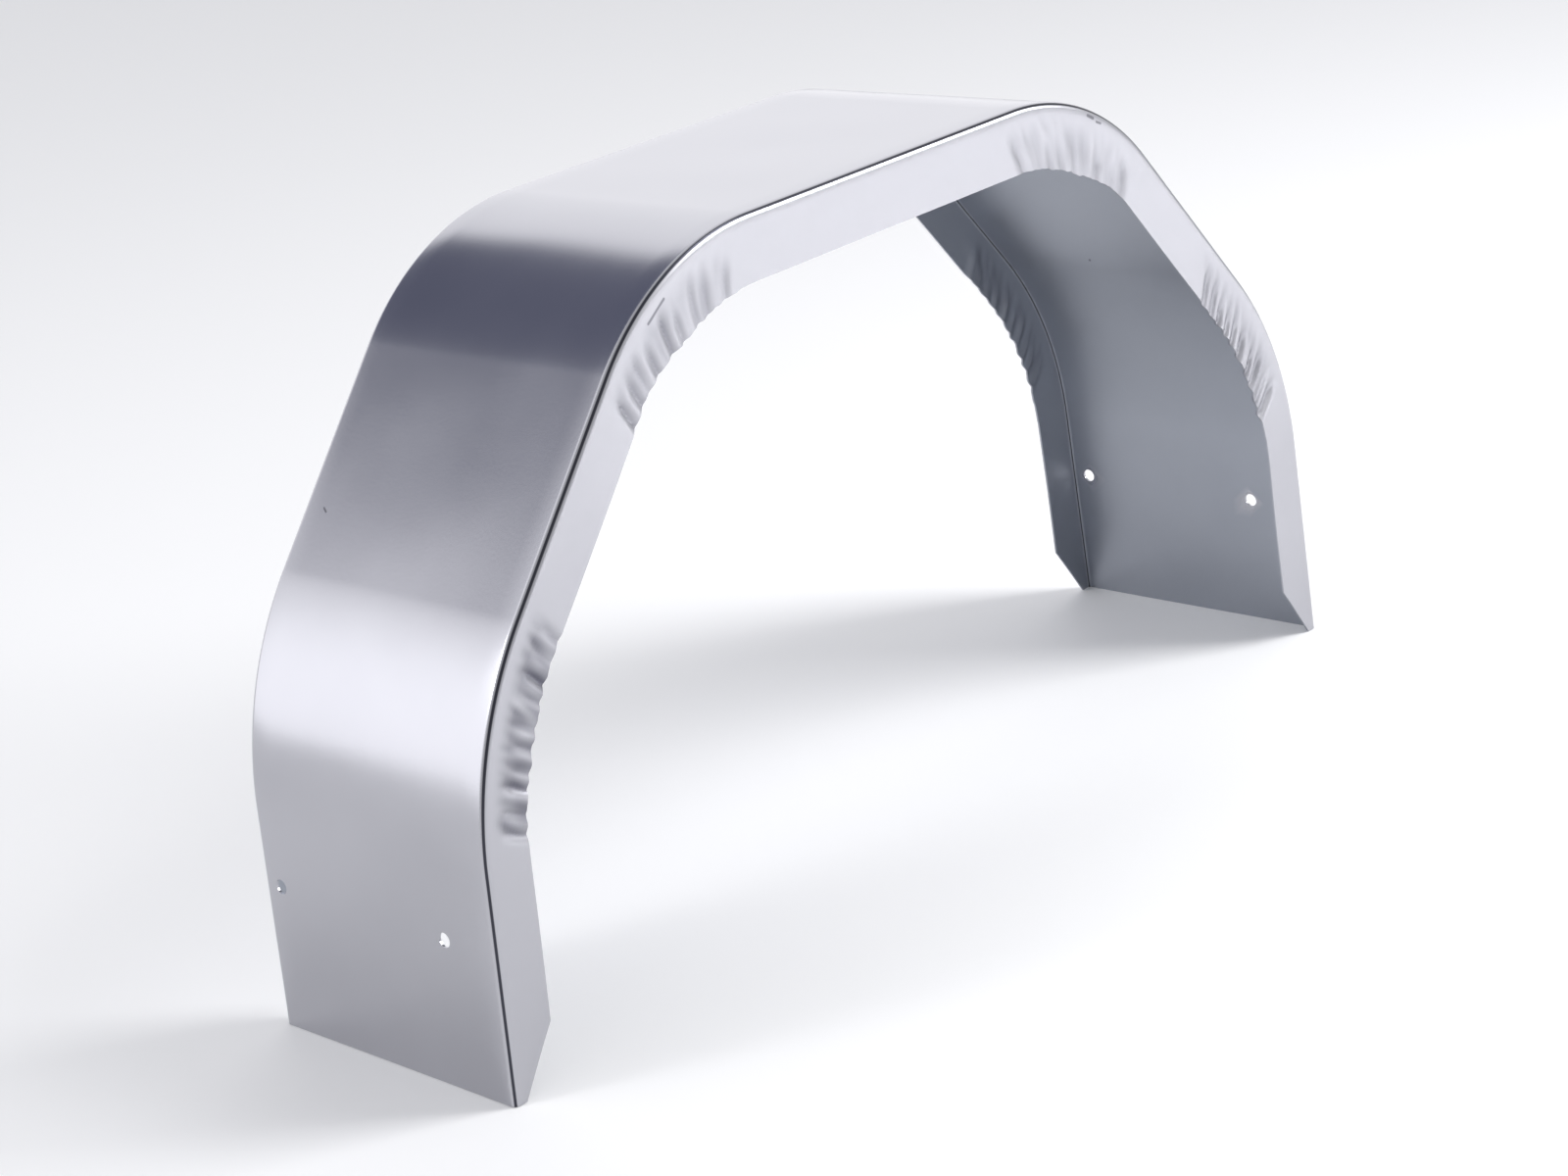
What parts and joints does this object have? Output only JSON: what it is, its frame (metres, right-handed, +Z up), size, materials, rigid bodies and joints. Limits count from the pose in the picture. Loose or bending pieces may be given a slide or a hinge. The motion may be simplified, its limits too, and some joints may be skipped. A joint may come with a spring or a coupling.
{
  "type": "trailer mudguard",
  "caption": "Arched trailer mudguard folded from one galvanised steel sheet, with a lip along both edges, fluted at the bends, and bolt holes in both legs.",
  "frame": {"origin": "middle of the box around the mudguard, at the height of the feet", "axes": "+X along the trailer, from one leg to the other; +Y across the wheel, towards the bolted edge; +Z up"},
  "size_m": [0.7812, 0.2, 0.4355],
  "materials": {
    "galvanised_steel": "smooth satin zinc coating"
  },
  "bodies": {
    "root": {"mudguard": "galvanised_steel"}
  },
  "joints": []
}
